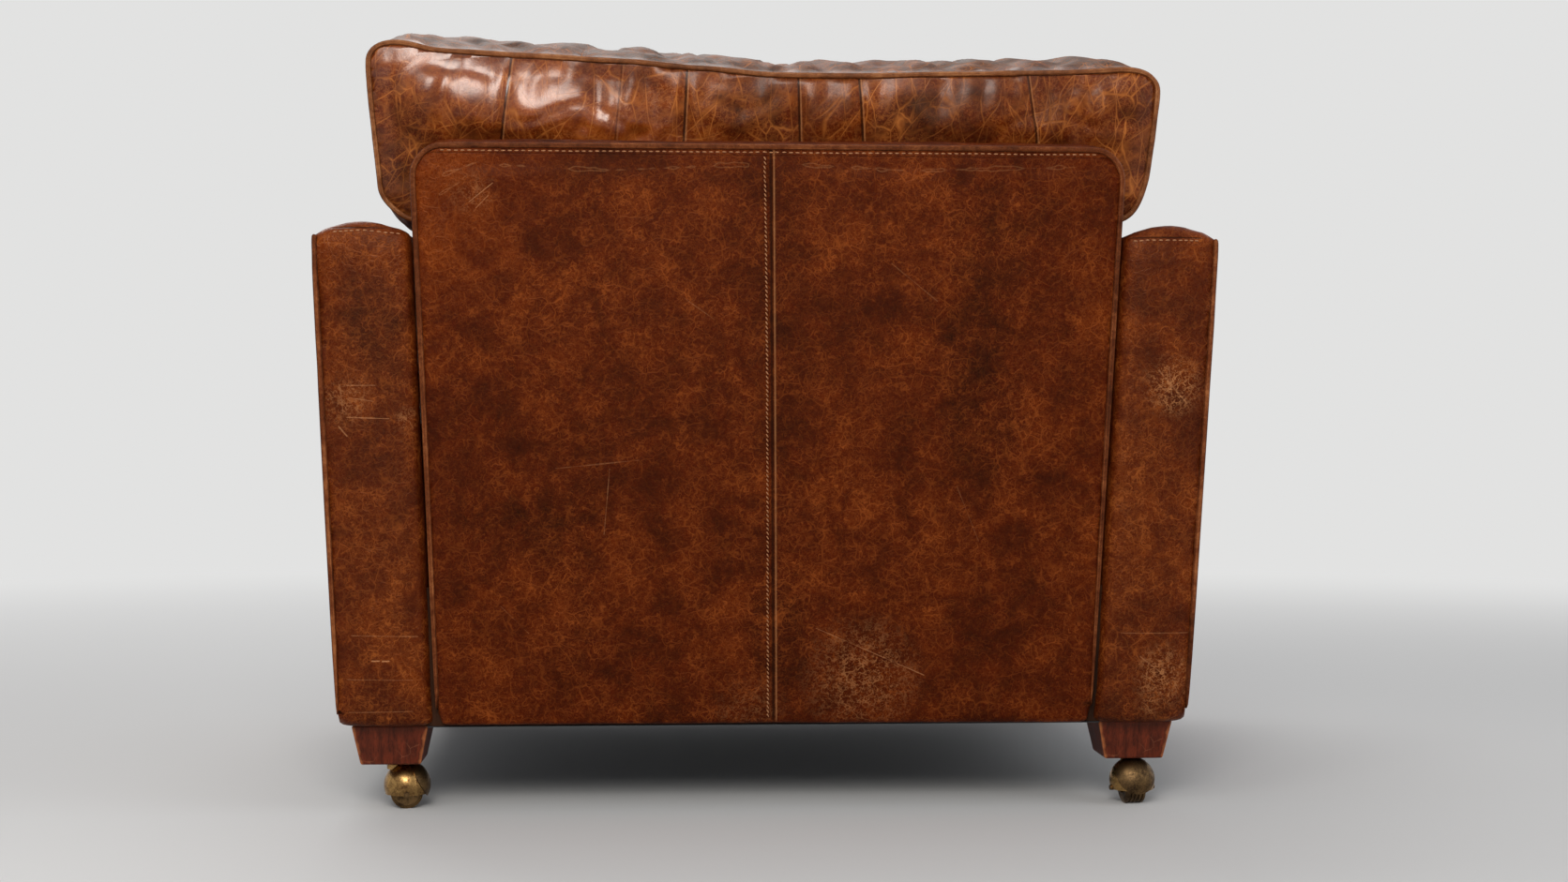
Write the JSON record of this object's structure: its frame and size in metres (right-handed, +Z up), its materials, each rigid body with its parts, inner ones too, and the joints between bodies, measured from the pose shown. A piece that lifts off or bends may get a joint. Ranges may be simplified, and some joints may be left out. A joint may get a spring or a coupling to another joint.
{
  "type": "club chair",
  "caption": "Worn brown leather club chair with a raked back, low domed arms, a loose sagging back cushion, tapered wooden legs and brass ball casters.",
  "frame": {"origin": "on the floor, below the centre of the chair's overall box", "axes": "+Z up, -Y the way the sitter faces, +X on the sitter's left hand"},
  "size_m": [0.9724, 0.9528, 0.8799],
  "materials": {
    "body_leather": "worn satin",
    "cushion_leather": "worn gloss",
    "welt_leather": "worn satin",
    "mahogany": "rubbed satin",
    "frame_timber": "sawn",
    "antique_brass": "tarnished satin",
    "dark_tread": "dull, darkened",
    "spring_steel": "plain wire",
    "black_cambric": "matt cloth",
    "webbing": "woven",
    "deck_cloth": "matt cloth"
  },
  "bodies": {
    "root": {"arm_cover_left": "body_leather", "arm_cover_right": "body_leather", "arm_post_front_left": "frame_timber", "arm_post_front_right": "frame_timber", "arm_post_rear_left": "frame_timber", "arm_post_rear_right": "frame_timber", "arm_rail_left": "frame_timber", "arm_rail_right": "frame_timber", "arm_welt_front_left": "welt_leather", "arm_welt_front_right": "welt_leather", "arm_welt_rear_left": "welt_leather", "arm_welt_rear_right": "welt_leather", "back_cushion": "cushion_leather", "back_cushion_welt_front": "welt_leather", "back_cushion_welt_rear": "welt_leather", "back_lower_rail": "frame_timber", "back_post_left": "frame_timber", "back_post_right": "frame_timber", "back_top_rail": "frame_timber", "back_webbing_1": "webbing", "back_webbing_2": "webbing", "back_webbing_3": "webbing", "corner_block_front_left": "frame_timber", "corner_block_front_right": "frame_timber", "corner_block_rear_left": "frame_timber", "corner_block_rear_right": "frame_timber", "dust_cover": "black_cambric", "front_panel": "body_leather", "inside_back_pad": "body_leather", "leg_front_left": "mahogany", "leg_front_right": "mahogany", "leg_rear_left": "mahogany", "leg_rear_right": "mahogany", "outside_back_cover": "body_leather", "outside_back_welt": "welt_leather", "seat_cushion": "cushion_leather", "seat_cushion_welt_bottom": "welt_leather", "seat_cushion_welt_top": "welt_leather", "seat_deck": "deck_cloth", "seat_rail_front": "frame_timber", "seat_rail_left": "frame_timber", "seat_rail_rear": "frame_timber", "seat_rail_right": "frame_timber", "seat_spring_1": "spring_steel", "seat_spring_2": "spring_steel", "seat_spring_3": "spring_steel", "seat_spring_4": "spring_steel", "seat_spring_5": "spring_steel"},
    "swivel_rear_left": {"caster_hood_rear_left": "antique_brass", "caster_axle_rear_left": "antique_brass"},
    "wheel_rear_left": {"caster_wheel_rear_left": "dark_tread"},
    "swivel_rear_right": {"caster_hood_rear_right": "antique_brass", "caster_axle_rear_right": "antique_brass"},
    "wheel_rear_right": {"caster_wheel_rear_right": "dark_tread"},
    "swivel_front_left": {"caster_hood_front_left": "antique_brass", "caster_axle_front_left": "antique_brass"},
    "wheel_front_left": {"caster_wheel_front_left": "dark_tread"},
    "swivel_front_right": {"caster_hood_front_right": "antique_brass", "caster_axle_front_right": "antique_brass"},
    "wheel_front_right": {"caster_wheel_front_right": "dark_tread"}
  },
  "joints": [
    {"name": "swivel_rear_left", "type": "hinge", "parent": "root", "child": "swivel_rear_left", "pos_m": [0.414, 0.3292, 0.0525], "axis": [0, 0, 1], "continuous": true},
    {"name": "roll_rear_left", "type": "hinge", "parent": "swivel_rear_left", "child": "wheel_rear_left", "pos_m": [0.40008, 0.32774, 0.0178], "axis": [0.1045, -0.9945, 0], "continuous": true},
    {"name": "swivel_rear_right", "type": "hinge", "parent": "root", "child": "swivel_rear_right", "pos_m": [-0.414, 0.3292, 0.0525], "axis": [0, 0, 1], "continuous": true},
    {"name": "roll_rear_right", "type": "hinge", "parent": "swivel_rear_right", "child": "wheel_rear_right", "pos_m": [-0.41595, 0.34306, 0.0178], "axis": [-0.9903, -0.1392, 0], "continuous": true},
    {"name": "swivel_front_left", "type": "hinge", "parent": "root", "child": "swivel_front_left", "pos_m": [0.414, -0.3968, 0.0525], "axis": [0, 0, 1], "continuous": true},
    {"name": "roll_front_left", "type": "hinge", "parent": "swivel_front_left", "child": "wheel_front_left", "pos_m": [0.42014, -0.38422, 0.0178], "axis": [-0.8988, 0.4384, 0], "continuous": true},
    {"name": "swivel_front_right", "type": "hinge", "parent": "root", "child": "swivel_front_right", "pos_m": [-0.414, -0.3968, 0.0525], "axis": [0, 0, 1], "continuous": true},
    {"name": "roll_front_right", "type": "hinge", "parent": "swivel_front_right", "child": "wheel_front_right", "pos_m": [-0.42121, -0.3848, 0.0178], "axis": [-0.8572, -0.515, 0], "continuous": true}
  ]
}
